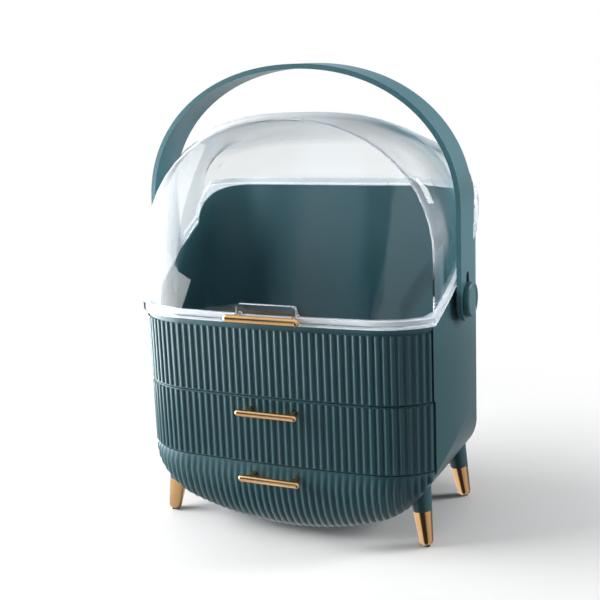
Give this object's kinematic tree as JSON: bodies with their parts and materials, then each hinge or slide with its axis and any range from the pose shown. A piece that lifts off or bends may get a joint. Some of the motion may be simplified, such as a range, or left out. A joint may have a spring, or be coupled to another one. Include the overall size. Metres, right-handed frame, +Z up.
{
  "type": "makeup organizer",
  "caption": "Dustproof makeup organizer: ribbed drawers with gold bars, an arched back, a clear flip-up hood, a strap handle and splayed gold-tipped legs.",
  "frame": {"origin": "middle of the whole object's footprint, on the table it stands on", "axes": "+Z up, the drawers open toward -Y, +X to the right seen from behind the drawers' fronts looking back"},
  "size_m": [0.2752, 0.1874, 0.367],
  "materials": {
    "case_plastic": "satin gloss",
    "drawer_plastic": "satin gloss",
    "handle_plastic": "satin gloss",
    "leg_plastic": "satin gloss",
    "clear_plastic": "clear polished plastic",
    "gold": "polished rose gold plating",
    "screw_steel": "zinc plated",
    "pin_steel": "bright",
    "pad_rubber": "matt"
  },
  "bodies": {
    "case": {"housing": "case_plastic", "top_tray": "case_plastic", "middle_shelf": "case_plastic", "hinge_pin": "pin_steel", "pivot_stud_left": "handle_plastic", "pivot_stud_right": "handle_plastic", "pivot_cap_left": "handle_plastic", "pivot_cap_right": "handle_plastic", "leg_front_left": "leg_plastic", "leg_front_right": "leg_plastic", "leg_back_left": "leg_plastic", "leg_back_right": "leg_plastic", "leg_tip_front_left": "gold", "leg_tip_front_right": "gold", "leg_tip_back_left": "gold", "leg_tip_back_right": "gold", "foot_pads": "pad_rubber", "leg_screws": "screw_steel", "tray_screws": "screw_steel"},
    "drawer_upper": {"upper_drawer": "drawer_plastic", "upper_drawer_bar": "gold", "upper_bar_screws": "screw_steel"},
    "drawer_lower": {"lower_drawer": "drawer_plastic", "lower_drawer_bar": "gold", "lower_bar_screws": "screw_steel"},
    "hood_group": {"hood": "clear_plastic", "hood_bar": "gold", "hood_bar_screws": "screw_steel"},
    "handle_group": {"handle": "handle_plastic"}
  },
  "joints": [
    {"name": "upper_drawer_slide", "type": "slide", "parent": "case", "child": "drawer_upper", "axis": [0, -1, 0], "range_m": [0, 0.115]},
    {"name": "lower_drawer_slide", "type": "slide", "parent": "case", "child": "drawer_lower", "axis": [0, -1, 0], "range_m": [0, 0.115]},
    {"name": "handle_swing", "type": "hinge", "parent": "case", "child": "handle_group", "pos_m": [0, -0.001, 0.186], "axis": [1, 0, 0], "range_deg": [0, 100]},
    {"name": "hood_hinge", "type": "hinge", "parent": "case", "child": "hood_group", "pos_m": [0, 0.0895, 0.222], "axis": [-1, 0, 0], "range_deg": [0, 95]}
  ],
  "couplings": [
    {"joint": "hood_hinge", "follows": "handle_swing", "ratio": 0.9499}
  ]
}
